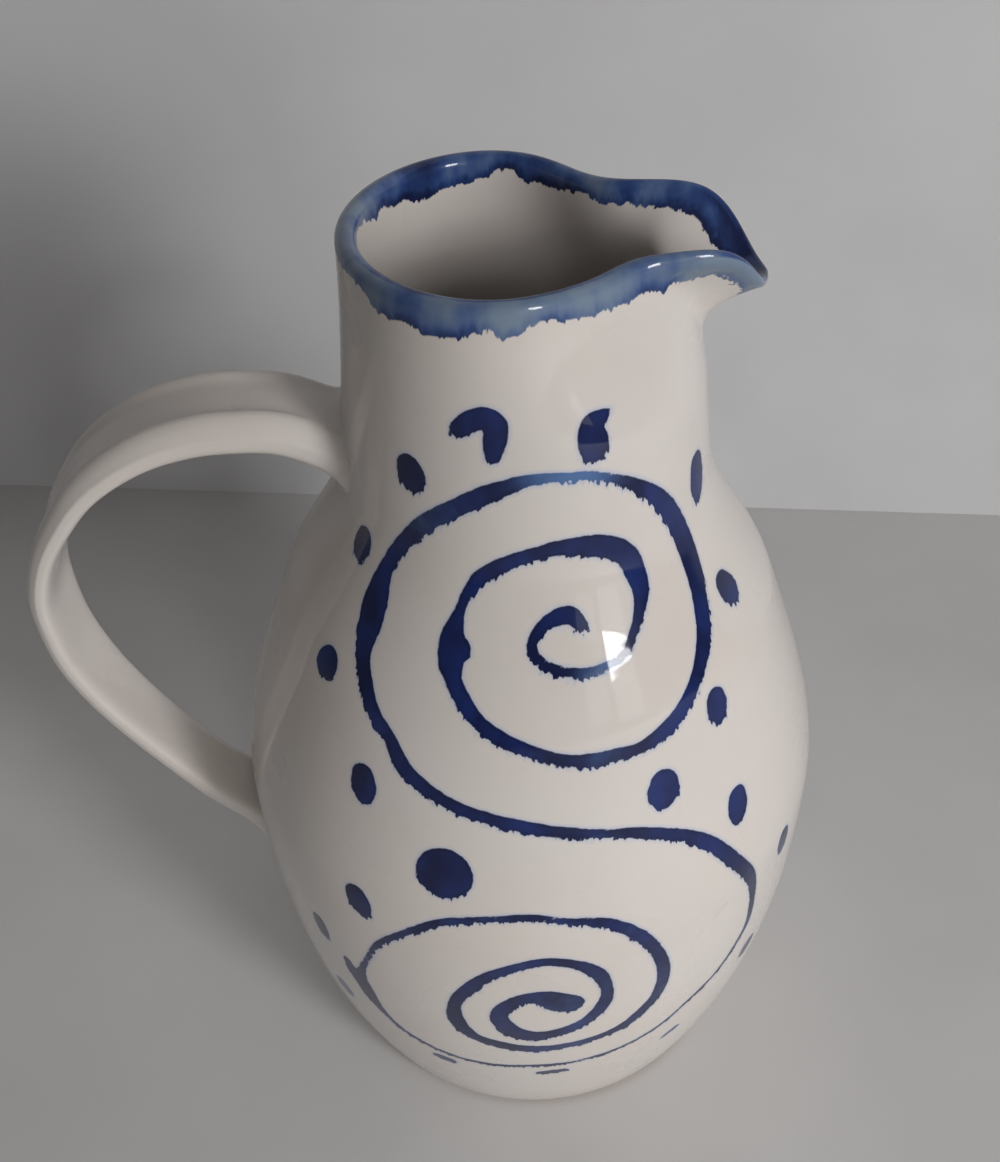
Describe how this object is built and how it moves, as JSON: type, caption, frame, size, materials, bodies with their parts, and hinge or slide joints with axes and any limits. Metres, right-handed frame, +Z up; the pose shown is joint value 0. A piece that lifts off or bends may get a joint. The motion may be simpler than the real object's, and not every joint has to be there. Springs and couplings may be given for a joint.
{
  "type": "pouring jug",
  "caption": "Tall pear-shaped ceramic jug with a pulled pouring lip, a pulled strap handle and brushed blue scrolls over a pale glaze.",
  "frame": {"origin": "centre of the foot on the surface the jug stands on", "axes": "+Z up the jug's axis, +X towards the pouring lip, handle at -X, pictured painted side towards -Y"},
  "size_m": [0.1749, 0.1352, 0.2206],
  "materials": {
    "cream_glaze": "glossy cream-white glaze",
    "handle_glaze": "glossy cream-white glaze",
    "washed_cobalt": "watery cobalt under a glossy glaze",
    "brushed_cobalt": "dense cobalt brush strokes under a glossy glaze"
  },
  "bodies": {
    "root": {"thrown_body": "cream_glaze", "pulled_handle": "handle_glaze", "upper_joint_coil": "handle_glaze", "lower_joint_coil": "handle_glaze", "rim_band": "washed_cobalt", "front_scroll": "brushed_cobalt", "front_dots": "brushed_cobalt", "back_scroll": "brushed_cobalt", "back_dots": "brushed_cobalt"}
  },
  "joints": []
}
